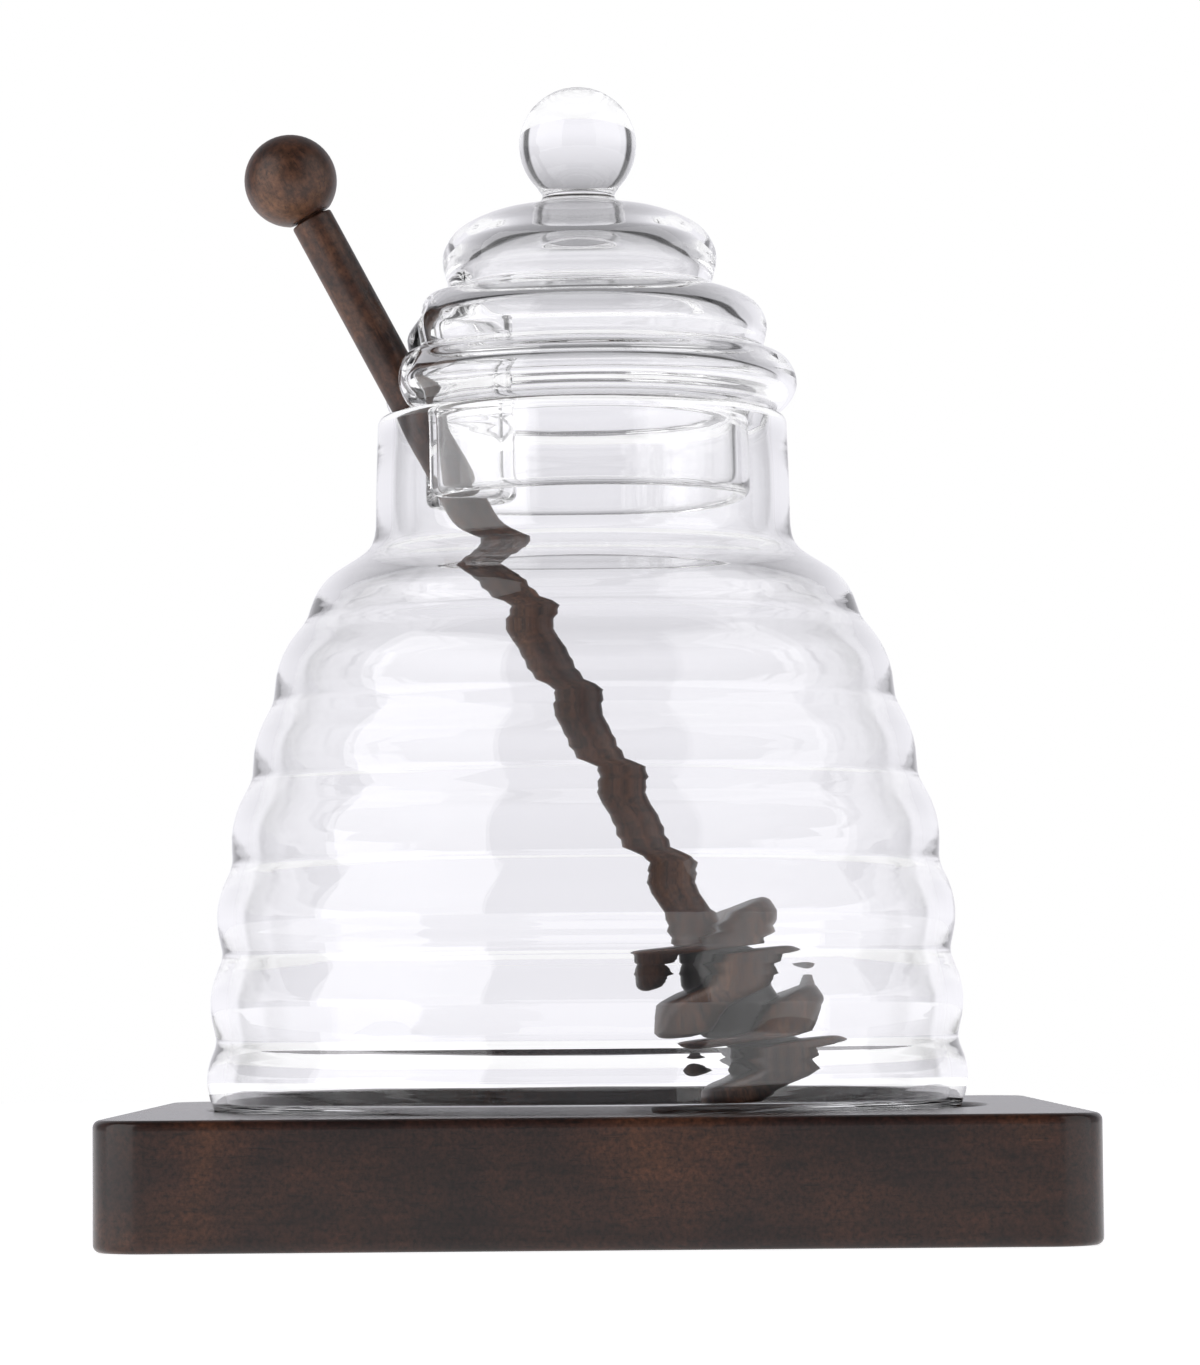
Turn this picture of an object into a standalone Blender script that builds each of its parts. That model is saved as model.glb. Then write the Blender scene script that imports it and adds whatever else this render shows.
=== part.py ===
# A glass beehive honey jar with a glass lid and a wooden dipper, standing in a square wooden base.
# Metres, +Z up. The origin is the centre of the base's underside, and the front faces -Y.

import math

import bmesh
import bpy
from mathutils import Matrix, Vector

mm = 0.001
fitGap = 0.3 * mm  # air between pieces that touch

# Base
baseWidth = 130 * mm
baseHeight = 17.0 * mm
baseCornerRadius = 7.3 * mm
baseEdgeRadius = 1.0 * mm
recessRadius = 54.5 * mm
recessDepth = 6.5 * mm

# Jar. It stands a little left of the recess's centre.
jarOffset = -1.4 * mm
jarHeight = 103.2 * mm
jarWall = 2.2 * mm
jarFloor = 4.1 * mm
neckRadius = 29.1 * mm
neckWall = 2.4 * mm
rimRadius = 28.8 * mm
jarSteps = 48
# Grooves between the bulging rings, from the neck down, in millimetres: radius, height above the
# foot, and how far the glass bulges between this groove and the next
jarGrooves = [
    (38.7, 74.5, 1.6),
    (43.4, 63.0, 1.2),
    (46.4, 52.2, 1.5),
    (49.2, 40.2, 1.8),
    (50.5, 27.6, 1.7),
    (51.4, 15.6, 1.6),
    (51.8, 5.6, 0.0),
]
insideBulgeShare = 0.7  # the inside of the wall follows the rings less deeply

# Lid, measured from the underside of its flange
knobRadius = 8.3 * mm
knobCentre = 38.4 * mm
lidSteps = 56
skirtRadius = 23.5 * mm
skirtDepth = 12.2 * mm
lidWall = 2.3 * mm
# Notch pressed into the lid's left side for the dipper
notchTurn = math.radians(7)
notchHalfAngle = math.radians(27)
notchSideAngle = math.radians(16)
notchDepthRadius = 11.8 * mm
notchTop = 17.5 * mm
notchRoof = 5 * mm
notchRelief = 0.06  # share of the lid's own rings that stays in the notch

# Dipper, measured from its tip along its own axis
dipperLean = math.radians(28.3)
dipperTip = Vector((27.45 * mm, 0, 20.05 * mm))
ballHeight = 144.4 * mm
ballRadius = 6.5 * mm
stickRadius = 3.0 * mm
tenonRadius = 2.0 * mm
tenonLength = 4.4 * mm
headRadius = 11.2 * mm
headCoreRadius = 5.6 * mm
discCount = 4
discPitch = 6.9 * mm
discThickness = 4.2 * mm
discEdgeRadius = 1.4 * mm
dipperSteps = 20

recessFloor = baseHeight - recessDepth
jarFoot = recessFloor + fitGap
lidSeat = jarFoot + jarHeight + fitGap


def inMetres(points):
    return [tuple(value * mm for value in point) for point in points]


def arc(centreRadius, centreHeight, radius, fromDegrees, toDegrees, steps):
    points = []
    for step in range(steps + 1):
        angle = math.radians(fromDegrees + (toDegrees - fromDegrees) * step / steps)
        points.append(
            (centreRadius + radius * math.cos(angle), centreHeight + radius * math.sin(angle))
        )
    return points


def smoothStep(value):
    value = min(1, max(0, value))
    return value * value * (3 - 2 * value)


def ringedWall(share, inset, steps):
    # The beehive's wall from groove to groove. The glass stands out between them by share of its
    # bulge, and the whole lies inset behind the grooves.
    grooves = inMetres(jarGrooves)
    points = []
    for (r0, z0, bulge), (r1, z1, _) in zip(grooves, grooves[1:]):
        length = math.hypot(r1 - r0, z1 - z0)
        outR = (z0 - z1) / length
        outZ = (r1 - r0) / length
        for step in range(steps):
            t = step / steps
            out = bulge * share * math.sin(math.pi * t) ** 0.8 - inset
            points.append((r0 + (r1 - r0) * t + outR * out, z0 + (z1 - z0) * t + outZ * out))
    return points


def makeMaterial(name, colour, roughness, transmission=0.0):
    material = bpy.data.materials.new(name)
    material.use_nodes = True
    shader = material.node_tree.nodes["Principled BSDF"]
    shader.inputs["Base Color"].default_value = (*colour, 1)
    shader.inputs["Metallic"].default_value = 0
    shader.inputs["Roughness"].default_value = roughness
    shader.inputs["Transmission Weight"].default_value = transmission
    return material


def addObject(name, form, material, place=None):
    bmesh.ops.recalc_face_normals(form, faces=form.faces)
    mesh = bpy.data.meshes.new(name)
    form.to_mesh(mesh)
    form.free()
    mesh.materials.append(material)
    mesh.shade_smooth()
    mesh.set_sharp_from_angle(angle=math.radians(40))
    item = bpy.data.objects.new(name, mesh)
    bpy.context.collection.objects.link(item)
    if place is not None:
        item.matrix_world = place
    return item


def turn(outline, angles, shaped=None):
    # Turns an outline whose two ends lie on the axis. shaped may move a point: (r, z, angle) -> r.
    form = bmesh.new()
    first = form.verts.new((0, 0, outline[0][1]))
    last = form.verts.new((0, 0, outline[-1][1]))
    rings = []
    for r, z in outline[1:-1]:
        ring = []
        for angle in angles:
            radius = shaped(r, z, angle) if shaped else r
            ring.append(form.verts.new((radius * math.cos(angle), radius * math.sin(angle), z)))
        rings.append(ring)
    count = len(angles)
    for step in range(count):
        after = (step + 1) % count
        form.faces.new((first, rings[0][step], rings[0][after]))
        form.faces.new((last, rings[-1][after], rings[-1][step]))
        for upper, lower in zip(rings, rings[1:]):
            form.faces.new((upper[step], lower[step], lower[after], upper[after]))
    return form


def evenAngles(steps):
    return [2 * math.pi * step / steps for step in range(steps)]


def buildBase(material):
    form = bmesh.new()
    bmesh.ops.create_cube(form, size=1)
    bmesh.ops.scale(form, vec=(baseWidth, baseWidth, baseHeight), verts=form.verts)
    bmesh.ops.translate(form, vec=(0, 0, baseHeight / 2), verts=form.verts)
    upright = [e for e in form.edges if abs(e.verts[0].co.z - e.verts[1].co.z) > 1 * mm]
    bmesh.ops.bevel(
        form, geom=upright, offset=baseCornerRadius, segments=7, profile=0.5, affect="EDGES"
    )
    form.normal_update()
    level = [
        e for e in form.edges if abs(e.link_faces[0].normal.z - e.link_faces[1].normal.z) > 0.5
    ]
    bmesh.ops.bevel(form, geom=level, offset=baseEdgeRadius, segments=2, profile=0.5, affect="EDGES")
    base = addObject("base", form, material)

    hole = bmesh.new()
    bmesh.ops.create_cone(
        hole,
        cap_ends=True,
        segments=64,
        radius1=recessRadius,
        radius2=recessRadius,
        depth=2 * recessDepth,
    )
    cutter = addObject("recess_cutter", hole, material, Matrix.Translation((0, 0, baseHeight)))
    cutter.hide_render = True
    cutter.display_type = "WIRE"
    cut = base.modifiers.new("recess", "BOOLEAN")
    cut.operation = "DIFFERENCE"
    cut.solver = "EXACT"
    cut.object = cutter


def jarOutline():
    foot = inMetres([(0, 0.9), (30, 0.7), (38, 0), (45, 0)])
    heel = inMetres([(49.0, 1.0), (51.2, 3.2), jarGrooves[-1][:2]])
    rings = reversed(ringedWall(1, 0, 5))
    shoulder = inMetres([(38.2, 77.1), (36.2, 80.3), (32.4, 82.8), (30.0, 84.5)])
    neckFoot = (neckRadius + 0.1 * mm, 87 * mm)
    bead = neckWall / 2
    rim = arc(rimRadius - bead, jarHeight - bead, bead, 0, 180, 4)
    innerNeckFoot = (neckRadius - neckWall, 87.5 * mm)
    innerShoulder = inMetres([(27.6, 84.2), (31.6, 80.9), (35.4, 77.8)])
    innerRings = ringedWall(insideBulgeShare, jarWall, 2)
    innerHeel = [
        (49.3 * mm, jarFloor + 4.1 * mm),
        (47.6 * mm, jarFloor + 1.6 * mm),
        (44.0 * mm, jarFloor + 0.2 * mm),
        (0, jarFloor),
    ]
    outside = [*foot, *heel, *rings, *shoulder, neckFoot, *rim]
    inside = [innerNeckFoot, *innerShoulder, *innerRings, *innerHeel]
    return outside + inside


def buildJar(material):
    place = Matrix.Translation((jarOffset, 0, jarFoot))
    addObject("jar", turn(jarOutline(), evenAngles(jarSteps)), material, place)


def lidOutside():
    top = knobCentre + knobRadius
    knob = arc(0, knobCentre, knobRadius, 68, -48, 6)
    dome = inMetres(
        [(4.95, 31.2), (6.2, 30), (12.4, 28.7), (17, 26.5), (19, 23.8), (19.3, 21.4), (18.4, 17.9)]
    )
    upperRing = inMetres([(22.6, 16.6), (25.2, 14.9), (26.3, 12.2), (25.6, 8.9)])
    flange = inMetres([(28.8, 7.5), (30.3, 4.8), (29.9, 2.2), (27.6, 0.0)])
    skirt = [
        (skirtRadius + 0.4 * mm, 0),
        (skirtRadius, -1 * mm),
        (skirtRadius, 1 * mm - skirtDepth),
        (skirtRadius - lidWall / 2, -skirtDepth),
    ]
    return [(0, top), *knob, *dome, *upperRing, *flange, *skirt]


def lidInside():
    innerSkirt = skirtRadius - lidWall
    skirt = [(innerSkirt, 1 * mm - skirtDepth), (innerSkirt, -1 * mm)]
    hollow = inMetres(
        [
            (25.8, 1.6),
            (27.9, 4.5),
            (23.2, 8.6),
            (23.6, 12.0),
            (21.8, 14.4),
            (16.5, 16.6),
            (17.3, 22.2),
            (14.4, 25.2),
            (8.0, 26.8),
            (0, 27.0),
        ]
    )
    return [*skirt, *hollow]


def notchAngles():
    # Finer steps round the notch, at angle pi, than on the far side
    finer = 0.55
    return [math.pi + angle - finer * math.sin(angle) for angle in evenAngles(lidSteps)]


def pressIn(wall):
    # The notch as a push towards the axis. The glass's inside lies one wall behind its outside.
    halfAngle = notchHalfAngle + 1.5 * wall / skirtRadius

    def push(r, z, angle):
        away = abs((angle - notchTurn) % (2 * math.pi) - math.pi)
        across = smoothStep((halfAngle - away) / notchSideAngle)
        along = smoothStep((notchTop + wall - z) / notchRoof)
        depth = max(0, r - notchDepthRadius + wall) * (1 - notchRelief)
        return r - depth * across * along

    return push


def buildLid(material):
    outside = lidOutside()
    inside = lidInside()
    pressed = {**dict.fromkeys(outside, pressIn(0)), **dict.fromkeys(inside, pressIn(lidWall))}

    def shaped(r, z, angle):
        return pressed[r, z](r, z, angle)

    place = Matrix.Translation((jarOffset, 0, lidSeat))
    addObject("lid", turn(outside + inside, notchAngles(), shaped), material, place)


def dipperPlace():
    # The dipper leans to the left in the plane of the notch
    axis = Matrix.Translation((jarOffset, 0, 0))
    return (
        axis
        @ Matrix.Rotation(notchTurn, 4, "Z")
        @ Matrix.Translation(dipperTip)
        @ Matrix.Rotation(-dipperLean, 4, "Y")
    )


def headDisc(bottom):
    inner = headRadius - discEdgeRadius
    top = bottom + discThickness
    return [
        (headCoreRadius, bottom),
        *arc(inner, bottom + discEdgeRadius, discEdgeRadius, -90, 0, 2),
        *arc(inner, top - discEdgeRadius, discEdgeRadius, 0, 90, 2),
        (headCoreRadius, top),
    ]


def buildDipper(material):
    shoulder = ballHeight - math.sqrt(ballRadius**2 - stickRadius**2) - fitGap
    outline = [(0, 0)]
    for disc in range(discCount):
        outline += headDisc(disc * discPitch)
    headTop = outline.pop()[1]
    outline += [
        (stickRadius + 0.6 * mm, headTop),
        (stickRadius, headTop + 1.5 * mm),
        (stickRadius, shoulder),
        (tenonRadius, shoulder),
        (tenonRadius, shoulder + tenonLength),
        (0, shoulder + tenonLength),
    ]
    addObject("dipper_stick", turn(outline, evenAngles(dipperSteps)), material, dipperPlace())

    socketRadius = tenonRadius + fitGap
    mouth = math.degrees(math.asin((stickRadius + 0.1 * mm) / ballRadius))
    ball = [(0, ballHeight + ballRadius)]
    ball += arc(0, ballHeight, ballRadius, 75, mouth - 90, 9)
    ball += [
        (socketRadius, ball[-1][1]),
        (socketRadius, shoulder + tenonLength + fitGap),
        (0, shoulder + tenonLength + fitGap),
    ]
    addObject("dipper_ball", turn(ball, evenAngles(dipperSteps)), material, dipperPlace())


def main():
    for item in list(bpy.data.objects):
        bpy.data.objects.remove(item, do_unlink=True)
    glass = makeMaterial("clear_glass", (0.93, 0.94, 0.96), 0.02, 1.0)
    baseWood = makeMaterial("stained_base_wood", (0.055, 0.026, 0.018), 0.42)
    dipperWood = makeMaterial("stained_dipper_wood", (0.06, 0.03, 0.022), 0.45)
    buildBase(baseWood)
    buildJar(glass)
    buildLid(glass)
    buildDipper(dipperWood)


main()
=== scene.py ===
import math

import bmesh
import bpy
import numpy as np
from mathutils import Matrix, Vector


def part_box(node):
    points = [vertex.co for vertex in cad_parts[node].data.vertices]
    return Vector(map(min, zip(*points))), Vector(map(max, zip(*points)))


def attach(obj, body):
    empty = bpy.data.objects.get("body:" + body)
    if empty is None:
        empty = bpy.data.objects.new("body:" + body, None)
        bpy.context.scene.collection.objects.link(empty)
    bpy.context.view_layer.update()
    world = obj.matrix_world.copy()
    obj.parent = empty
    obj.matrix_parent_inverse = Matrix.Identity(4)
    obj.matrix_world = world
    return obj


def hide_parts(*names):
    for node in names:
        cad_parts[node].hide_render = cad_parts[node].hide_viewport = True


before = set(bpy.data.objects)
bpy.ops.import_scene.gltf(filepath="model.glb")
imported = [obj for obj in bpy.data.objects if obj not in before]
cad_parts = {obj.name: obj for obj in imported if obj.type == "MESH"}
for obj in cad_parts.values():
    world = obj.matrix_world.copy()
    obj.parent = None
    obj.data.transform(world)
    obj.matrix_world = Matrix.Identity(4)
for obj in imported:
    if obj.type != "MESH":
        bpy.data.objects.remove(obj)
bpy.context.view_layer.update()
mm = 0.001


# Small helpers

def linear(hexColour):
    # sRGB hex to linear RGBA
    parts = [int(hexColour[i:i + 2], 16) / 255 for i in (1, 3, 5)]
    return (*[p / 12.92 if p <= 0.04045 else ((p + 0.055) / 1.055) ** 2.4 for p in parts], 1)


def addNode(tree, kind, inputs=None, stops=None, **settings):
    # A node with its settings. Each input is a value or the output socket that feeds it, and
    # stops are a colour ramp's (place, level or hex colour) from left to right.
    node = tree.nodes.new(kind)
    for name, value in settings.items():
        setattr(node, name, value)
    for key, value in (inputs or {}).items():
        if isinstance(value, bpy.types.NodeSocket):
            tree.links.new(value, node.inputs[key])
        else:
            node.inputs[key].default_value = value
    if stops:
        elements = node.color_ramp.elements
        while len(elements) < len(stops):
            elements.new(1)
        for element, (spot, level) in zip(elements, stops):
            element.position = spot
            element.color = linear(level) if isinstance(level, str) else (level, level, level, 1)
    return node


# Outlines. A point is (radius, height, depth), and depth tells how far it lies inside the wall.

spacing = 0.1  # mm between a softened line's points


def withDepth(points, depth=0.0):
    return [(*point[:2], depth) for point in points]


def arc(radius, height, size, fromDegrees, toDegrees, steps):
    angles = [
        math.radians(fromDegrees + (toDegrees - fromDegrees) * i / steps) for i in range(steps + 1)
    ]
    return [(radius + size * math.cos(a), height + size * math.sin(a)) for a in angles]


def through(points, steps=6):
    # A smooth line through the points
    ends = [2 * Vector(points[0]) - Vector(points[1]), 2 * Vector(points[-1]) - Vector(points[-2])]
    spine = [ends[0], *map(Vector, points), ends[1]]
    line = []
    for a, b, c, d in zip(spine, spine[1:], spine[2:], spine[3:]):
        for i in range(steps):
            t = i / steps
            line.append(tuple(
                ((2 * b) + (c - a) * t + (2 * a - 5 * b + 4 * c - d) * t**2
                 + (3 * b - a - 3 * c + d) * t**3) / 2
            ))
    return [*line, tuple(points[-1])]


def softened(points, reach):
    # Rounds the line's corners over about reach mm. Its ends stay on the axis.
    points = np.array(points, float)
    along = np.concatenate([[0], np.cumsum(np.hypot(*np.diff(points[:, :2], axis=0).T))])
    even = np.linspace(0, along[-1], int(along[-1] / spacing) + 1)
    fine = np.stack([np.interp(even, along, column) for column in points.T], axis=1)
    window = max(1, round(reach / spacing))
    mirrored = np.array([-1, 1, 1])
    kernel = np.ones(2 * window + 1) / (2 * window + 1)
    for _ in range(3):
        head = fine[1:window + 1][::-1] * mirrored
        tail = fine[-window - 1:-1][::-1] * mirrored
        padded = np.concatenate([head, fine, tail])
        fine = np.stack([np.convolve(column, kernel, "valid") for column in padded.T], axis=1)
    fine[0, 0] = fine[-1, 0] = 0
    return fine


def thinned(points, longest, bend):
    # Keeps more points where the line bends. bend is in degrees for one step.
    kept = [points[0]]
    turned = length = 0.0
    for before, here, after in zip(points, points[1:], points[2:]):
        way = here[:2] - before[:2]
        onward = after[:2] - here[:2]
        length += math.hypot(*way)
        cross = way[0] * onward[1] - way[1] * onward[0]
        turned += abs(math.degrees(math.atan2(cross, float(way @ onward))))
        if length > longest or turned > bend:
            kept.append(here)
            turned = length = 0.0
    return [*kept, points[-1]]


# The turning tree carries an outline round a plan, a closed line seen from above. The outline's
# point radius tells how deep it lies inside the wall. A plan point has its plain angle as tilt,
# and as radius the share of the outline's bulges that it keeps.

def buildTurningTree():
    tree = bpy.data.node_groups.new("turnedForm", "GeometryNodeTree")
    sockets = [
        ("Outline", "NodeSocketObject"),
        ("Plan", "NodeSocketObject"),
        ("Plan Radius", "NodeSocketFloat"),
        ("Press Top", "NodeSocketFloat"),
        ("Press Fade", "NodeSocketFloat"),
        ("Ripple Share", "NodeSocketFloat"),
        ("Ripple Size", "NodeSocketFloat"),
        ("Seed", "NodeSocketFloat"),
        ("Material", "NodeSocketMaterial"),
    ]
    for name, kind in sockets:
        tree.interface.new_socket(name, in_out="INPUT", socket_type=kind)
    tree.interface.new_socket("Geometry", in_out="OUTPUT", socket_type="NodeSocketGeometry")
    given = addNode(tree, "NodeGroupInput").outputs

    # A grid with a row for each point of the outline and a column for each point of the plan
    outline, plan = [
        addNode(
            tree, "GeometryNodeObjectInfo", {"Object": given[name]}, transform_space="ORIGINAL"
        ).outputs["Geometry"] for name in ("Outline", "Plan")
    ]
    rows, columns = [
        addNode(
            tree, "GeometryNodeAttributeDomainSize", {"Geometry": line}, component="CURVE"
        ).outputs["Point Count"] for line in (outline, plan)
    ]
    oneMore = addNode(tree, "FunctionNodeIntegerMath", {0: columns, 1: 1}, operation="ADD")
    grid = addNode(
        tree, "GeometryNodeMeshGrid", {"Vertices X": oneMore.outputs[0], "Vertices Y": rows}
    )
    index = addNode(tree, "GeometryNodeInputIndex").outputs[0]
    row = addNode(tree, "FunctionNodeIntegerMath", {0: index, 1: rows}, operation="MODULO")
    step = addNode(tree, "FunctionNodeIntegerMath", {0: index, 1: rows}, operation="DIVIDE_FLOOR")
    column = addNode(
        tree, "FunctionNodeIntegerMath", {0: step.outputs[0], 1: columns}, operation="MODULO"
    )
    where = addNode(tree, "GeometryNodeInputPosition").outputs[0]
    swell = addNode(tree, "GeometryNodeInputRadius").outputs[0]
    tilt = addNode(tree, "GeometryNodeInputCurveTilt").outputs[0]
    heading = addNode(tree, "GeometryNodeInputTangent").outputs[0]
    point, depth, spot, kept, turned, forward = [
        addNode(
            tree,
            "GeometryNodeSampleIndex",
            {"Geometry": line, "Value": value, "Index": place.outputs[0]},
            data_type=kind,
        ).outputs[0] for line, value, place, kind in (
            (outline, where, row, "FLOAT_VECTOR"),
            (outline, swell, row, "FLOAT"),
            (plan, where, column, "FLOAT_VECTOR"),
            (plan, swell, column, "FLOAT"),
            (plan, tilt, column, "FLOAT"),
            (plan, heading, column, "FLOAT_VECTOR"),
        )
    ]
    r, _, z = addNode(tree, "ShaderNodeSeparateXYZ", {0: point}).outputs

    # Plain turning, with a slight ripple as glass has that was blown by hand
    spun = addNode(
        tree, "ShaderNodeVectorRotate", {"Vector": point, "Angle": turned}, rotation_type="Z_AXIS"
    )
    closeness = addNode(
        tree, "ShaderNodeMath", {0: 1.0, 1: given["Ripple Size"]}, operation="DIVIDE"
    )
    variant = addNode(
        tree, "ShaderNodeMath", {0: depth, 1: 300.0, 2: given["Seed"]}, operation="MULTIPLY_ADD"
    )
    ripple = addNode(
        tree,
        "ShaderNodeTexNoise",
        {"Vector": spun.outputs[0], "Scale": closeness.outputs[0], "W": variant.outputs[0],
         "Detail": 1.0},
        noise_dimensions="4D",
    )
    waved = addNode(
        tree,
        "ShaderNodeMath",
        {0: ripple.outputs[0], 1: given["Ripple Share"], 2: 1.0},
        operation="MULTIPLY_ADD",
    )
    spread = addNode(
        tree, "ShaderNodeCombineXYZ", {0: waved.outputs[0], 1: waved.outputs[0], 2: 1.0}
    )
    turnedSpot = addNode(
        tree,
        "ShaderNodeVectorMath",
        {0: spun.outputs[0], 1: spread.outputs[0]},
        operation="MULTIPLY",
    )

    # Pressed: the same point beside the plan, out by what it keeps of its bulge
    face = addNode(tree, "ShaderNodeMath", {0: r, 1: depth}, operation="ADD")
    bulge = addNode(
        tree, "ShaderNodeMath", {0: face.outputs[0], 1: given["Plan Radius"]}, operation="SUBTRACT"
    )
    keptBulge = addNode(
        tree, "ShaderNodeMath", {0: bulge.outputs[0], 1: kept}, operation="MULTIPLY"
    )
    out = addNode(
        tree, "ShaderNodeMath", {0: keptBulge.outputs[0], 1: depth}, operation="SUBTRACT"
    )
    outward = addNode(
        tree,
        "ShaderNodeVectorRotate",
        {"Vector": forward, "Angle": -math.pi / 2},
        rotation_type="Z_AXIS",
    )
    level = addNode(tree, "ShaderNodeCombineXYZ", {2: z})
    raised = addNode(
        tree, "ShaderNodeVectorMath", {0: spot, 1: level.outputs[0]}, operation="ADD"
    )
    pressed = addNode(
        tree,
        "ShaderNodeVectorMath",
        {0: outward.outputs[0], "Scale": out.outputs[0]},
        operation="SCALE",
    )
    pressedSpot = addNode(
        tree, "ShaderNodeVectorMath", {0: raised.outputs[0], 1: pressed.outputs[0]}, operation="ADD"
    )
    top = addNode(tree, "ShaderNodeMath", {0: given["Press Top"], 1: depth}, operation="ADD")
    full = addNode(
        tree, "ShaderNodeMath", {0: top.outputs[0], 1: given["Press Fade"]}, operation="SUBTRACT"
    )
    share = addNode(tree, "ShaderNodeMapRange", {
        "Value": z, "From Min": top.outputs[0], "From Max": full.outputs[0],
    }, interpolation_type="SMOOTHSTEP")
    place = addNode(
        tree,
        "ShaderNodeMix",
        {0: share.outputs[0], 4: turnedSpot.outputs[0], 5: pressedSpot.outputs[0]},
        data_type="VECTOR",
    )

    moved = addNode(tree, "GeometryNodeSetPosition", {
        "Geometry": grid.outputs["Mesh"], "Position": place.outputs[1],
    })
    closed = addNode(tree, "GeometryNodeMergeByDistance", {
        "Geometry": moved.outputs[0], "Distance": 0.002 * mm,
    })
    smooth = addNode(tree, "GeometryNodeSetShadeSmooth", {"Geometry": closed.outputs[0]})
    real = addNode(tree, "GeometryNodeRealizeInstances", {"Geometry": smooth.outputs[0]})
    dressed = addNode(tree, "GeometryNodeSetMaterial", {
        "Geometry": real.outputs[0], "Material": given["Material"],
    })
    addNode(tree, "NodeGroupOutput", {"Geometry": dressed.outputs[0]})
    return tree


turningTree = buildTurningTree()


def roundPlan(steps):
    return [(0.0, 0.0, 1.0, 2 * math.pi * step / steps) for step in range(steps)]


def turnPiece(name, outline, plan, material, place, values=None):
    # Carries an outline in mm round a plan with the turning tree, and moves the plain mesh to its
    # place. A plan point is (x, y, kept share of bulges, plain angle).
    lines = []
    for kind, count in (("Outline", len(outline)), ("Plan", len(plan))):
        curve = bpy.data.curves.new(name + kind, "CURVE")
        curve.dimensions = "3D"
        curve.splines.new("POLY").points.add(count - 1)
        lines.append(bpy.data.objects.new(name + kind, curve))
    for point, (r, z, depth) in zip(lines[0].data.splines[0].points, outline):
        point.co = (r * mm, 0, z * mm, 1)
        point.radius = depth * mm
    lines[1].data.splines[0].use_cyclic_u = True
    for point, (x, y, kept, angle) in zip(lines[1].data.splines[0].points, plan):
        point.co = (x * mm, y * mm, 0, 1)
        point.radius = kept
        point.tilt = angle
    host = bpy.data.objects.new(name, bpy.data.meshes.new(name))
    for item in (*lines, host):
        bpy.context.scene.collection.objects.link(item)
    modifier = host.modifiers.new("turned", "NODES")
    modifier.node_group = turningTree
    settings = {
        "Outline": lines[0],
        "Plan": lines[1],
        "Press Top": -1.0,
        "Press Fade": 1 * mm,
        "Ripple Size": 20 * mm,
        "Material": material,
        **(values or {}),
    }
    for item in turningTree.interface.items_tree:
        if item.in_out == "INPUT" and item.name in settings:
            modifier[item.identifier] = settings[item.name]
    bpy.context.view_layer.update()
    ready = host.evaluated_get(bpy.context.evaluated_depsgraph_get())
    mesh = bpy.data.meshes.new_from_object(ready)
    host.modifiers.remove(modifier)
    host.data = mesh
    mesh.transform(place)
    faceOutwards(mesh)
    for line in lines:
        bpy.data.objects.remove(line)
    return host


def faceOutwards(mesh):
    form = bmesh.new()
    form.from_mesh(mesh)
    bmesh.ops.recalc_face_normals(form, faces=form.faces)
    form.to_mesh(mesh)
    form.free()


# Glass

glassLook = {
    "colour": "#ffffff",
    "ior": 1.473,  # borosilicate glass
    "roughness": 0.0,
    "streakSize": 1.6,  # mm between the fine drawn lines that run round the wall
    "streakDepth": 0.004,  # mm
    "cordSize": 22,  # mm, the broad cords left by blowing
    "cordDepth": 0.03,
}


def makeGlass(name, look):
    # Clear borosilicate glass, blown and fire-polished: no colour of its own, mirror-smooth, with
    # faint drawn lines that only show where the light bends sharply
    material = bpy.data.materials.new(name)
    material.use_nodes = True
    tree = material.node_tree
    shader = tree.nodes["Principled BSDF"]
    shader.inputs["Base Color"].default_value = linear(look["colour"])
    shader.inputs["Roughness"].default_value = look["roughness"]
    shader.inputs["IOR"].default_value = look["ior"]
    shader.inputs["Transmission Weight"].default_value = 1.0
    spot = addNode(tree, "ShaderNodeTexCoord").outputs["Object"]
    ringed = addNode(tree, "ShaderNodeMapping", {"Vector": spot, "Scale": (0.05, 0.05, 1)})
    streaks = addNode(
        tree,
        "ShaderNodeTexNoise",
        {"Vector": ringed.outputs[0], "Scale": 1 / (look["streakSize"] * mm), "Detail": 2.0},
    )
    cords = addNode(
        tree,
        "ShaderNodeTexNoise",
        {"Vector": spot, "Scale": 1 / (look["cordSize"] * mm), "Detail": 1.0},
    )
    fine = addNode(tree, "ShaderNodeBump", {
        "Height": streaks.outputs[0], "Distance": look["streakDepth"] * mm, "Strength": 1.0,
    })
    broad = addNode(tree, "ShaderNodeBump", {
        "Height": cords.outputs[0], "Distance": look["cordDepth"] * mm, "Strength": 1.0,
        "Normal": fine.outputs[0],
    })
    tree.links.new(broad.outputs[0], shader.inputs["Normal"])
    return material


jarGlass = makeGlass("blownBorosilicateGlass", glassLook)


# Jar, measured from the plane of its foot

jarShape = {
    "height": 103.2,
    "wall": 2.2,
    "floor": 4.1,
    "neckRadius": 29.1,
    "neckWall": 2.4,
    "rimRadius": 28.8,
    # Grooves between the bulging rings, from the neck down: radius, height, bulge to the next
    "grooves": [
        (38.7, 74.5, 1.6),
        (43.4, 63.0, 1.2),
        (46.4, 52.2, 1.5),
        (49.2, 40.2, 1.8),
        (50.5, 27.6, 1.7),
        (51.4, 15.6, 1.6),
        (51.8, 5.6, 0.0),
    ],
    # The outside took the mould's shape, and the inside follows its rings less closely
    "softness": 1.15,
    "innerSoftness": 1.7,
    "stepsRound": 240,
}


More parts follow.
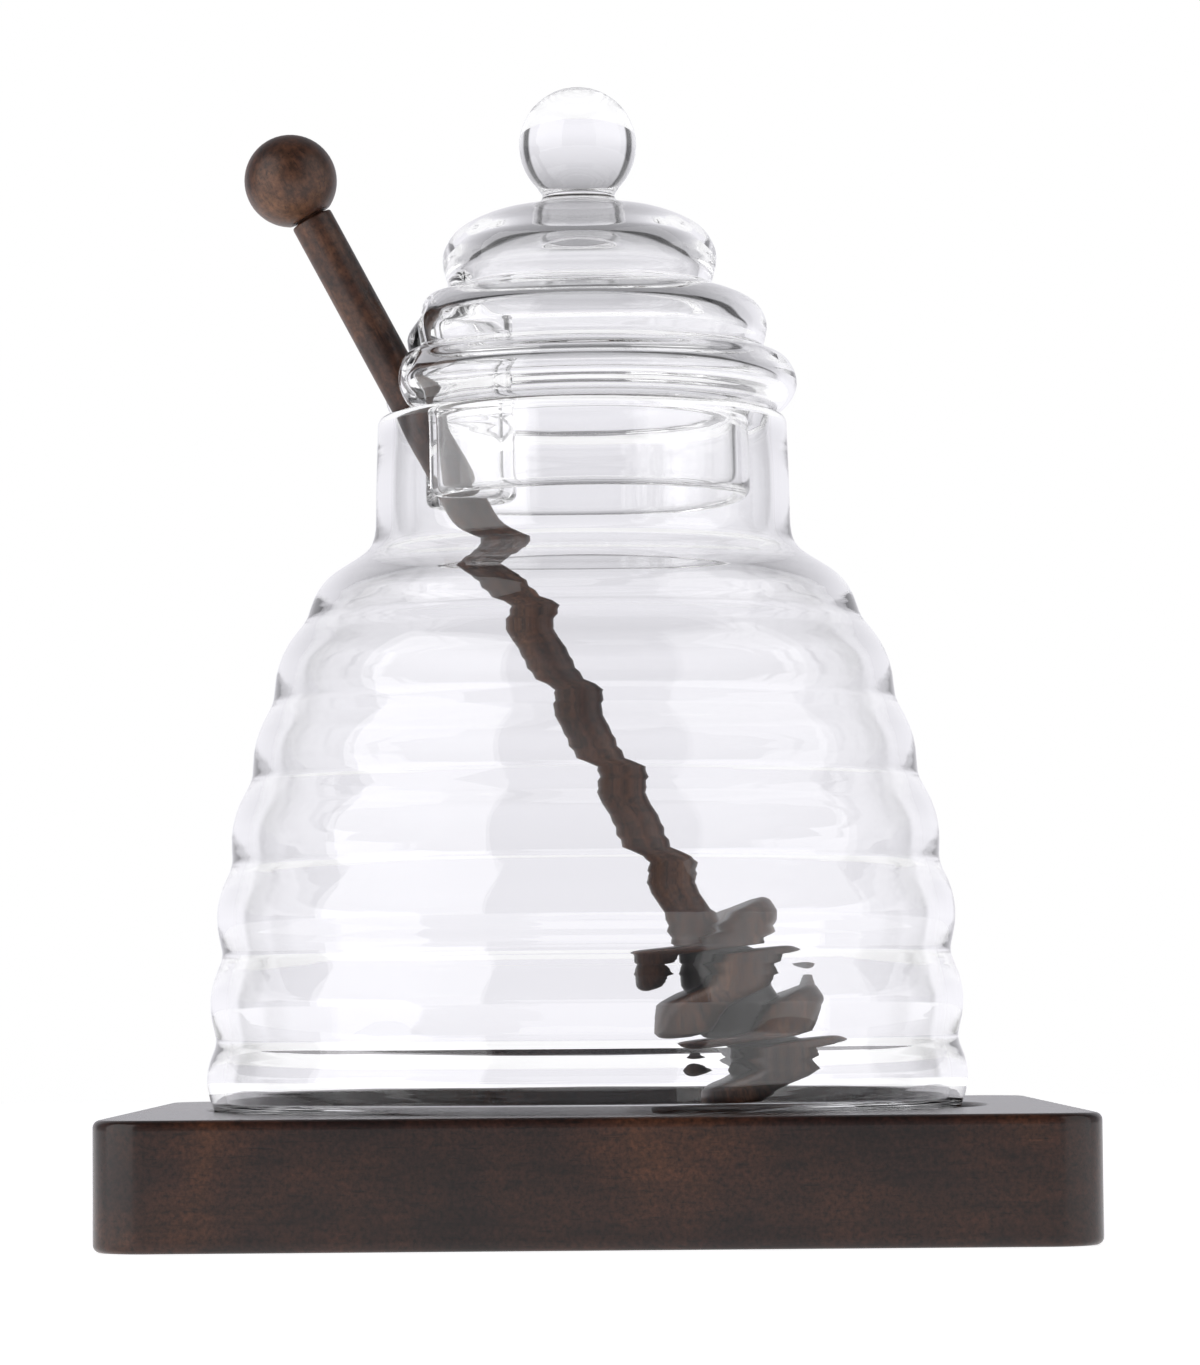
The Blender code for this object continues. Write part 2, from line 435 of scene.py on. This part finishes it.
def ringedWall(grooves, steps=14):
    # The beehive's wall from groove to groove, from the neck down
    line = []
    for (r0, z0, bulge), (r1, z1, _) in zip(grooves, grooves[1:]):
        length = math.hypot(r1 - r0, z1 - z0)
        outR = (z0 - z1) / length
        outZ = (r1 - r0) / length
        for step in range(steps):
            t = step / steps
            out = bulge * math.sin(math.pi * t) ** 0.8
            line.append((r0 + (r1 - r0) * t + outR * out, z0 + (z1 - z0) * t + outZ * out))
    return line


def insideOf(line, wall):
    # The line's parallel, wall mm to its left
    way = np.gradient(line[:, :2], axis=0)
    way /= np.hypot(*way.T)[:, None]
    return line[:, :2] + np.stack([-way[:, 1], way[:, 0]], axis=1) * wall


def jarOutline(shape):
    grooves = shape["grooves"]
    height, neck, neckWall = shape["height"], shape["neckRadius"], shape["neckWall"]
    rim, floor = shape["rimRadius"], shape["floor"]
    bead = neckWall / 2
    foot = [(0, 0.9), (30, 0.7), (38, 0), (45, 0)]
    heel = through([(45, 0), (49.0, 1.0), (51.2, 3.2), grooves[-1][:2]])
    rings = ringedWall(grooves)[::-1]
    shoulder = through([
        grooves[0][:2], (38.2, 77.1), (36.2, 80.3), (32.4, 82.8), (30.0, 84.5), (neck + 0.1, 87),
        (neck, 92), (rim, height - bead),
    ])
    wall = withDepth([*foot, *heel[1:], *rings, *shoulder[1:]])
    outside, inside = [
        # Without the end at the rim, which softening draws in to the axis
        softened(wall, reach)[:-round(3 * reach / spacing)]
        for reach in (shape["softness"], shape["innerSoftness"])
    ]
    parallel = insideOf(inside, shape["wall"])
    aboveHeel = parallel[:, 1] > floor + 3.4
    besideFoot = parallel[:, 0] > 20
    parallel = parallel[aboveHeel & besideFoot][::-1]
    innerHeel = through([parallel[-1], (48.3, floor + 1.5), (45.6, floor + 0.2), (41, floor)])
    line = [*outside[:, :2], *arc(rim - bead, height - bead, bead, 0, 180, 16), *parallel,
            *innerHeel[1:], (0, floor)]
    return thinned(softened(withDepth(line), 0.15), 1.6, 7)


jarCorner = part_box("jar")
jarAxis = (jarCorner[0].x + jarCorner[1].x) / 2
jarFoot = jarCorner[0].z
jarLine = jarOutline(jarShape)
jar = turnPiece(
    "beehiveJar",
    jarLine,
    roundPlan(jarShape["stepsRound"]),
    jarGlass,
    Matrix.Translation((jarAxis, 0, jarFoot)),
    {"Ripple Share": 0.001, "Ripple Size": 26 * mm, "Seed": 3.0},
)
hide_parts("jar")
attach(jar, "root")
print("jar:", len(jarLine), "points along its outline,", len(jar.data.polygons), "faces")


# Lid, measured from the underside of its flange

lidShape = {
    "knobRadius": 8.3,
    "knobCentre": 38.4,
    "skirtRadius": 23.5,
    "skirtDepth": 12.2,
    "wall": 2.3,
    "softness": 0.35,
    "tilt": 0.5,  # degrees, the lid sits a little askew
    # The notch: a channel pressed into flange and skirt from the side, for the dipper's stick
    "notchAngle": 187,  # degrees
    "notchHalfWidth": 4.3,
    "notchReach": 11.8,  # its innermost radius
    "notchCorner": 3.4,
    "notchTop": 17.5,
    "notchFade": 6,
    "notchRelief": 0.08,  # share of the flange's bulge that stays in the channel
    "bulgeFrom": 7,  # mm along the wall from the channel's end, where the bulge comes back
    "bulgeTo": 20,
    "fineReach": 18,  # mm along the plan from the channel's end, with points fineStep apart
    "fineStep": 0.4,
    "plainStep": 0.75,
}


def lidOutline(shape):
    centre, knob = shape["knobCentre"], shape["knobRadius"]
    skirt, depth, wall = shape["skirtRadius"], shape["skirtDepth"], shape["wall"]
    ball = arc(0, centre, knob, 90, -46, 40)
    dome = through([
        (4.95, 31.2), (6.2, 30), (12.4, 28.7), (17, 26.5), (19, 23.8), (19.3, 21.4), (18.4, 17.9),
    ])
    ring = through([(18.4, 17.9), (22.6, 16.6), (25.2, 14.9), (26.3, 12.2), (25.6, 8.9)])
    flange = through([(25.6, 8.9), (28.8, 7.5), (30.3, 4.8), (29.9, 2.2), (27.6, 0.0), (23.9, 0)])
    outside = withDepth([
        *ball, *dome, *ring[1:], *flange[1:], (skirt, -1), (skirt, 1 - depth),
    ])
    bead = wall / 2
    turnedIn = arc(skirt - bead, bead - depth, bead, 0, -180, 12)
    lip = [(*point, skirt - point[0]) for point in turnedIn]
    hollow = through([
        (skirt - wall, -1), (25.8, 1.6), (27.9, 4.5), (23.2, 8.6), (23.6, 12.0), (21.8, 14.4),
        (16.6, 16.8), (17.0, 21.0), (15.2, 24.0), (10.4, 26.3), (5.0, 27.3), (0, 27.6),
    ])
    inside = withDepth([(skirt - wall, 1 - depth), *hollow], wall)
    return thinned(softened([*outside, *lip, *inside], shape["softness"]), 1.5, 8)


def notchedPlan(shape):
    # Half of the plan runs from the channel's round end along its side, round the corner and along
    # the skirt's circle to the far side. The other half mirrors it.
    skirt, wide, corner = shape["skirtRadius"], shape["notchHalfWidth"], shape["notchCorner"]
    endAt = shape["notchReach"] + wide
    cornerAt = math.sqrt((skirt - corner) ** 2 - (wide + corner) ** 2)
    joins = math.degrees(math.atan2(wide + corner, cornerAt))
    line = [
        *arc(endAt, 0, wide, 180, 90, 40),
        *arc(cornerAt, wide + corner, corner, -90, joins, 60),
        *arc(0, 0, skirt, joins, 180, 300)[1:],
    ]
    line = np.array(line)
    along = np.concatenate([[0], np.cumsum(np.hypot(*np.diff(line, axis=0).T))])
    reach = along[-1]
    split = shape["fineReach"]
    fine = np.linspace(0, split, round(split / shape["fineStep"]) + 1)
    plain = np.linspace(split, reach, round((reach - split) / shape["plainStep"]) + 1)
    half = []
    for s in [*fine, *plain[1:]]:
        t = min(max((s - shape["bulgeFrom"]) / (shape["bulgeTo"] - shape["bulgeFrom"]), 0), 1)
        kept = shape["notchRelief"] + (1 - shape["notchRelief"]) * t * t * (3 - 2 * t)
        x, y = (np.interp(s, along, column) for column in line.T)
        half.append((x, y, kept, math.pi * s / reach))
    mirrored = [(x, -y, kept, 2 * math.pi - angle) for x, y, kept, angle in half[1:-1]]
    return [*half, *mirrored[::-1]]


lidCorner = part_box("lid")
lidSeat = lidCorner[1].z - (lidShape["knobCentre"] + lidShape["knobRadius"]) * mm
lidLine = lidOutline(lidShape)
lid = turnPiece(
    "knobbedLid",
    lidLine,
    notchedPlan(lidShape),
    jarGlass,
    Matrix.Translation((jarAxis, 0, lidSeat))
    @ Matrix.Rotation(-math.radians(lidShape["tilt"]), 4, "Y")
    @ Matrix.Rotation(math.radians(lidShape["notchAngle"]), 4, "Z"),
    {
        "Plan Radius": lidShape["skirtRadius"] * mm,
        "Press Top": lidShape["notchTop"] * mm,
        "Press Fade": lidShape["notchFade"] * mm,
        "Ripple Share": 0.001,
        "Ripple Size": 18 * mm,
        "Seed": 8.0,
    },
)
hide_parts("lid")
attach(lid, "root")
print("lid:", len(lidLine), "points along its outline,", len(lid.data.polygons), "faces")


# Stained wood

def makeStainedWood(name, look, place=None):
    # Close-grained hardwood, sanded, stained dark walnut and finished with satin lacquer: the stain
    # takes unevenly in soft blotches, and the pores stay as short dark flecks along the grain
    material = bpy.data.materials.new(name)
    material.use_nodes = True
    tree = material.node_tree
    shader = tree.nodes["Principled BSDF"]
    spot = addNode(tree, "ShaderNodeTexCoord").outputs["Object"]
    if place is not None:
        spot = addNode(
            tree,
            "ShaderNodeMapping",
            {"Vector": spot, "Location": place.to_translation(), "Rotation": place.to_euler()},
            vector_type="TEXTURE",
        ).outputs[0]
    drawn = addNode(tree, "ShaderNodeMapping", {"Vector": spot, "Scale": look["grainStretch"]})
    blotches = addNode(tree, "ShaderNodeTexNoise", {
        "Vector": spot, "Scale": 1 / (look["blotchSize"] * mm), "Detail": 3.0, "Roughness": 0.6,
        "Distortion": 0.3,
    })
    grain = addNode(tree, "ShaderNodeTexNoise", {
        "Vector": drawn.outputs[0], "Scale": 1 / (look["grainSize"] * mm), "Detail": 4.0,
        "Roughness": 0.65,
    })
    pores = addNode(tree, "ShaderNodeTexNoise", {
        "Vector": drawn.outputs[0], "Scale": 1 / (look["poreSize"] * mm), "Detail": 2.0,
        "Roughness": 0.5,
    })
    mottle = addNode(tree, "ShaderNodeTexNoise", {
        "Vector": spot, "Scale": 1 / (look["mottleSize"] * mm), "Detail": 3.0, "Roughness": 0.7,
    })
    stain = addNode(tree, "ShaderNodeValToRGB", {"Fac": blotches.outputs[0]}, look["stain"])
    streaked, speckled, pored = [
        addNode(
            tree, "ShaderNodeValToRGB", {"Fac": noise.outputs[0]}, [(low, dark), (high, 1.0)]
        ) for noise, low, high, dark in (
            (grain, 0.3, 0.7, look["grainDark"]),
            (mottle, 0.3, 0.7, look["mottleDark"]),
            (pores, 0.27, 0.4, look["poreDark"]),
        )
    ]
    layers = [streaked, speckled, pored]
    if "grooves" in look:
        # Painted shade in the grooves between the head's discs: below the head's top, the colour
        # darkens towards the axis
        inner, outer, dark = look["grooves"]
        x, y, z = addNode(tree, "ShaderNodeSeparateXYZ", {0: spot}).outputs
        flat = addNode(tree, "ShaderNodeCombineXYZ", {0: x, 1: y})
        radius = addNode(tree, "ShaderNodeVectorMath", {0: flat.outputs[0]}, operation="LENGTH")
        paintedGrooveShade = addNode(tree, "ShaderNodeMapRange", {
            "Value": radius.outputs["Value"], "From Min": inner * mm, "From Max": outer * mm,
            "To Min": dark,
        }, interpolation_type="SMOOTHSTEP")
        above = addNode(
            tree, "ShaderNodeMath", {0: z, 1: look["headTop"] * mm}, operation="GREATER_THAN"
        )
        layers.append(addNode(
            tree, "ShaderNodeMath", {0: paintedGrooveShade.outputs[0], 1: above.outputs[0]}, operation="MAXIMUM"
        ))
    colour = stain.outputs[0]
    for layer in layers:
        colour = addNode(
            tree,
            "ShaderNodeMix",
            {0: 1.0, 6: colour, 7: layer.outputs[0]},
            data_type="RGBA",
            blend_type="MULTIPLY",
        ).outputs[2]
    tree.links.new(colour, shader.inputs["Base Color"])
    rough = addNode(tree, "ShaderNodeMapRange", {
        "Value": grain.outputs[0],
        "To Min": look["roughness"] - 0.05,
        "To Max": look["roughness"] + 0.07,
    })
    tree.links.new(rough.outputs[0], shader.inputs["Roughness"])
    shader.inputs["IOR"].default_value = 1.5
    shader.inputs["Specular IOR Level"].default_value = look["shine"]
    shader.inputs["Coat Weight"].default_value = look["lacquer"]
    shader.inputs["Coat Roughness"].default_value = look["lacquerRoughness"]
    relief = addNode(tree, "ShaderNodeBump", {
        "Height": pored.outputs[0], "Distance": 0.05 * mm, "Strength": look["poreRelief"],
    })
    relief = addNode(tree, "ShaderNodeBump", {
        "Height": grain.outputs[0], "Distance": 0.1 * mm, "Strength": look["grainRelief"],
        "Normal": relief.outputs[0],
    })
    tree.links.new(relief.outputs[0], shader.inputs["Normal"])
    return material


# Base

baseShape = {
    "width": 130,
    "height": 17.0,
    "cornerRadius": 7.3,
    "edgeRadius": 1.0,
    "recessRadius": 54.5,
    "recessDepth": 6.5,
    "recessEdge": 0.5,
    "cornerSteps": 14,
    "sideSteps": 34,
}

baseWoodLook = {
    "grainStretch": (0.12, 1, 1),
    "blotchSize": 22,
    "grainSize": 1.6,
    "poreSize": 0.5,
    "mottleSize": 0.7,
    "stain": [(0.3, "#2a1512"), (0.45, "#3a211b"), (0.58, "#502e21"), (0.72, "#6e422a")],
    "grainDark": 0.5,
    "mottleDark": 0.2,
    "poreDark": 0.45,
    "poreRelief": 0.5,
    "grainRelief": 0.25,
    "roughness": 0.5,
    "shine": 0.2,  # the wood's own gloss under the lacquer
    "lacquer": 0.6,
    "lacquerRoughness": 0.16,
}


def squareRing(half, corner, shape):
    # A rounded square's points, the same number whatever its size. corner is its corner radius.
    ring = []
    for side in range(4):
        facing = math.radians(90 * side - 90)
        straight = half - corner
        for step in range(shape["sideSteps"]):
            t = -1 + 2 * step / shape["sideSteps"]
            ring.append(Matrix.Rotation(facing, 2) @ Vector((half, straight * t)))
        for step in range(shape["cornerSteps"]):
            angle = math.radians(90 * step / shape["cornerSteps"])
            offset = Vector((math.cos(angle), math.sin(angle))) * corner
            ring.append(Matrix.Rotation(facing, 2) @ (Vector((straight, straight)) + offset))
    return ring


def buildBase(shape, material):
    half, corner, edge = shape["width"] / 2, shape["cornerRadius"], shape["edgeRadius"]
    height, recess = shape["height"], shape["recessRadius"]
    floor, lip = height - shape["recessDepth"], shape["recessEdge"]
    outer = squareRing(half, corner, shape)
    rings = []

    def addSquare(inset, z):
        ring = squareRing(half - inset, corner - inset, shape)
        rings.append([Vector((*point, z)) for point in ring])

    def addCircle(radius, z):
        rings.append([Vector((*(point.normalized() * radius), z)) for point in outer])

    addCircle(20, 0)
    addCircle(50, 0)
    for inset in (3.0, edge + 0.3):
        addSquare(inset, 0)
    for r, z in arc(0, edge, edge, -90, 0, 6):
        addSquare(edge - r, z)
    for z in (edge + 0.4, height / 2, height - edge - 0.4):
        addSquare(0, z)
    for r, z in arc(0, height - edge, edge, 0, 90, 6):
        addSquare(edge - r, z)
    for inset in (edge + 0.3, 3.0):
        addSquare(inset, height)
    for more in (2.0, lip + 0.3):
        addCircle(recess + more, height)
    for r, z in arc(recess + lip, height - lip, lip, 90, 180, 5):
        addCircle(r, z)
    addCircle(recess, floor + 1.2)
    for r, z in arc(recess - 0.8, floor + 0.8, 0.8, 0, -90, 5):
        addCircle(r, z)
    for radius in (recess - 1.2, 40, 20):
        addCircle(radius, floor)
    form = bmesh.new()
    made = [[form.verts.new(point * mm) for point in ring] for ring in rings]
    ends = [form.verts.new((0, 0, 0)), form.verts.new((0, 0, floor * mm))]
    count = len(outer)
    for k in range(count):
        after = (k + 1) % count
        form.faces.new((ends[0], made[0][after], made[0][k]))
        form.faces.new((ends[1], made[-1][k], made[-1][after]))
        for lower, upper in zip(made, made[1:]):
            form.faces.new((lower[k], lower[after], upper[after], upper[k]))
    bmesh.ops.recalc_face_normals(form, faces=form.faces)
    mesh = bpy.data.meshes.new("squareBase")
    form.to_mesh(mesh)
    form.free()
    mesh.materials.append(material)
    mesh.shade_smooth()
    piece = bpy.data.objects.new("squareBase", mesh)
    bpy.context.scene.collection.objects.link(piece)
    return piece


baseWood = makeStainedWood("walnutStainedBaseWood", baseWoodLook)
base = buildBase(baseShape, baseWood)
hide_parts("base")
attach(base, "root")
print("base:", len(base.data.polygons), "faces")


# Dipper, measured from its tip along its own axis

dipperShape = {
    "lean": 28.3,  # degrees
    "turn": 7,
    "tip": (27.45, 0, 20.05),
    "ballHeight": 144.4,
    "ballRadius": 6.5,
    "stickRadius": 3.0,
    "tenonRadius": 2.0,
    "tenonLength": 4.4,
    "headRadius": 11.2,
    "coreRadius": 5.6,
    "discCount": 4,
    "discPitch": 6.9,
    "discThickness": 4.2,
    "discEdge": 1.4,
    "gap": 0.3,
    "stepsRound": 96,
}

dipperWoodLook = {
    "grainStretch": (1, 1, 0.1),
    "blotchSize": 9,
    "grainSize": 0.9,
    "poreSize": 0.4,
    "mottleSize": 0.9,
    "stain": [(0.3, "#412920"), (0.45, "#5c3a2c"), (0.6, "#7a5039"), (0.75, "#966748")],
    "grainDark": 0.5,
    "mottleDark": 0.25,
    "poreDark": 0.4,
    "grooves": (9.0, 11.1, 0.1),  # painted shade in the grooves between the head's discs: mm from the axis where it is full and where it ends, and the share of the colour left at the core
    "headTop": 24.9,
    "poreRelief": 0.4,
    "grainRelief": 0.25,
    "roughness": 0.45,
    "shine": 0.4,
    "lacquer": 0.25,
    "lacquerRoughness": 0.3,
}


def stickOutline(shape):
    core, edge, head = shape["coreRadius"], shape["discEdge"], shape["headRadius"]
    thick, stick, tenon = shape["discThickness"], shape["stickRadius"], shape["tenonRadius"]
    line = [(0, 0)]
    for disc in range(shape["discCount"]):
        low = disc * shape["discPitch"]
        high = low + thick
        line += [(core, low)] if disc else [(core, 0)]
        line += arc(head - edge, low + edge, edge, -90, 0, 6)
        line += arc(head - edge, high - edge, edge, 0, 90, 6)
        line += [(core, high)]
    top = line.pop()[1]
    shoulder = shape["ballHeight"] - math.sqrt(shape["ballRadius"] ** 2 - stick**2) - shape["gap"]
    line += [(stick + 0.6, top), (stick, top + 1.5), (stick, shoulder), (tenon, shoulder)]
    line += [(tenon, shoulder + shape["tenonLength"]), (0, shoulder + shape["tenonLength"])]
    return thinned(softened(withDepth(line), 0.22), 3.0, 9)


def ballOutline(shape):
    centre, radius, gap = shape["ballHeight"], shape["ballRadius"], shape["gap"]
    stick, socket = shape["stickRadius"], shape["tenonRadius"] + shape["gap"]
    shoulder = centre - math.sqrt(radius**2 - stick**2) - gap
    mouth = math.degrees(math.asin((stick + 0.1) / radius))
    end = shoulder + shape["tenonLength"] + gap
    line = arc(0, centre, radius, 90, mouth - 90, 60)
    line += [(socket, line[-1][1]), (socket, end), (0, end)]
    return thinned(softened(withDepth(line), 0.15), 3.0, 6)


dipperPlace = (
    Matrix.Translation((jarAxis, 0, 0))
    @ Matrix.Rotation(math.radians(dipperShape["turn"]), 4, "Z")
    @ Matrix.Translation(Vector(dipperShape["tip"]) * mm)
    @ Matrix.Rotation(-math.radians(dipperShape["lean"]), 4, "Y")
)
dipperWood = makeStainedWood("turnedStainedDipperWood", dipperWoodLook, dipperPlace)
stick = turnPiece(
    "dipperStick",
    stickOutline(dipperShape),
    roundPlan(dipperShape["stepsRound"]),
    dipperWood,
    dipperPlace,
)
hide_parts("dipper_stick")
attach(stick, "root")
ball = turnPiece(
    "dipperBall",
    ballOutline(dipperShape),
    roundPlan(dipperShape["stepsRound"]),
    dipperWood,
    dipperPlace,
)
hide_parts("dipper_ball")
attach(ball, "root")
print("dipper:", len(stick.data.polygons) + len(ball.data.polygons), "faces")


# Studio: a pale lit table, a white surround with dark flags beside it, and two soft boxes in front

studio = {
    "floorSize": 1.0,  # metres
    "floorColour": "#e4e4e6",
    "floorGlow": 0.8,
    "backdropColour": "#f8f7fd",
    # Brightness round the object, from behind it (0) to the camera (1)
    "surround": [(0.0, 1.0), (0.25, 1.0), (0.28, 0.35), (0.5, 0.15), (1.0, 0.12)],
    # The same for light that comes through the glass, so that it is clear from behind too
    "seenThrough": [(0.0, 1.0), (0.235, 1.0), (0.255, 0.1), (0.31, 0.1), (0.34, 0.7),
                    (0.75, 0.65), (1.0, 0.7)],
    # Brightness from straight down (0) past level (0.5) to straight up (1)
    "height": [(0.0, 1.04), (0.5, 1.0), (0.526, 0.97), (0.574, 0.89), (0.66, 0.77), (0.742, 0.6),
               (0.85, 0.38), (1.0, 0.25)],
    # Soft boxes: degrees round from the camera to the left, distance, centre height, width,
    # height, brightness
    "softBoxes": [(-60, 0.8, 0.5, 0.9, 1.0, 1.6), (66, 0.8, 0.6, 0.9, 1.2, 0.9)],
}


def lightStudio(look):
    world = bpy.data.worlds.new("whiteStudio")
    bpy.context.scene.world = world
    world.use_nodes = True
    tree = world.node_tree
    tree.nodes.clear()
    way = addNode(tree, "ShaderNodeTexCoord").outputs["Generated"]
    x, y, z = addNode(tree, "ShaderNodeSeparateXYZ", {0: way}).outputs
    wide = addNode(tree, "ShaderNodeMath", {0: x}, operation="ABSOLUTE")
    turn = addNode(tree, "ShaderNodeMath", {0: wide.outputs[0], 1: y}, operation="ARCTAN2")
    spot = addNode(
        tree, "ShaderNodeMapRange", {"Value": turn.outputs[0], "From Max": math.pi}
    ).outputs[0]
    rise = addNode(tree, "ShaderNodeMapRange", {"Value": z, "From Min": -1.0})
    surround = addNode(tree, "ShaderNodeValToRGB", {"Fac": spot}, look["surround"])
    through = addNode(tree, "ShaderNodeValToRGB", {"Fac": spot}, look["seenThrough"])
    height = addNode(tree, "ShaderNodeValToRGB", {"Fac": rise.outputs[0]}, look["height"])
    ray = addNode(tree, "ShaderNodeLightPath").outputs
    around = addNode(
        tree,
        "ShaderNodeMix",
        {0: ray["Is Transmission Ray"], 2: surround.outputs[0], 3: through.outputs[0]},
        data_type="FLOAT",
    )
    level = addNode(
        tree, "ShaderNodeMath", {0: around.outputs[0], 1: height.outputs[0]}, operation="MULTIPLY"
    )
    studioLight = addNode(tree, "ShaderNodeBackground", {
        "Color": linear(look["backdropColour"]), "Strength": level.outputs[0],
    })
    plain = addNode(tree, "ShaderNodeBackground", {"Color": (1, 1, 1, 1), "Strength": 1.0})
    seen = addNode(tree, "ShaderNodeMixShader", {
        0: ray["Is Camera Ray"], 1: studioLight.outputs[0], 2: plain.outputs[0],
    })
    addNode(tree, "ShaderNodeOutputWorld", {"Surface": seen.outputs[0]})


def hangSoftBoxes(look):
    for number, box in enumerate(look["softBoxes"], 1):
        turn, distance, centre, width, tall, brightness = box
        data = bpy.data.lights.new(f"softBox{number}", "AREA")
        data.shape = "RECTANGLE"
        data.size = width
        data.size_y = tall
        data.energy = brightness * math.pi * width * tall
        lamp = bpy.data.objects.new(f"softBox{number}", data)
        angle = math.radians(turn)
        lamp.location = (distance * math.sin(angle), -distance * math.cos(angle), centre)
        lamp.rotation_euler = (math.pi / 2, 0, angle)
        bpy.context.scene.collection.objects.link(lamp)


def layFloor(look):
    # White acrylic shooting table, lit softly from below
    material = bpy.data.materials.new("whiteAcrylicTable")
    material.use_nodes = True
    shader = material.node_tree.nodes["Principled BSDF"]
    shader.inputs["Base Color"].default_value = linear(look["floorColour"])
    shader.inputs["Roughness"].default_value = 0.6
    shader.inputs["Emission Color"].default_value = (1, 1, 1, 1)
    shader.inputs["Emission Strength"].default_value = look["floorGlow"]
    form = bmesh.new()
    bmesh.ops.create_circle(form, cap_ends=True, segments=96, radius=look["floorSize"])
    mesh = bpy.data.meshes.new("studioTable")
    form.to_mesh(mesh)
    form.free()
    mesh.materials.append(material)
    floor = bpy.data.objects.new("studioTable", mesh)
    bpy.context.scene.collection.objects.link(floor)


lightStudio(studio)
hangSoftBoxes(studio)
layFloor(studio)
print("studio lit")


# Camera

cameraPlace = {
    "lens": 135.2,
    "place": (0.0008, -0.720, 0.0314),
    "tiltUp": 3.585,  # degrees
    "roll": -0.48,
}


def placeCamera(look):
    data = bpy.data.cameras.new("camera")
    data.lens = look["lens"]
    data.sensor_width = 36
    data.clip_start = 0.01
    camera = bpy.data.objects.new("camera", data)
    camera.matrix_world = (
        Matrix.Translation(look["place"])
        @ Matrix.Rotation(math.radians(90 + look["tiltUp"]), 4, "X")
        @ Matrix.Rotation(math.radians(look["roll"]), 4, "Z")
    )
    bpy.context.scene.collection.objects.link(camera)
    bpy.context.scene.camera = camera


placeCamera(cameraPlace)
scene = bpy.context.scene
scene.view_settings.view_transform = "Standard"
scene.cycles.max_bounces = 40
scene.cycles.transmission_bounces = 40
scene.cycles.glossy_bounces = 16
scene.cycles.diffuse_bounces = 6
scene.cycles.caustics_reflective = True
scene.cycles.caustics_refractive = True
scene.cycles.use_denoising = True
print("camera placed")
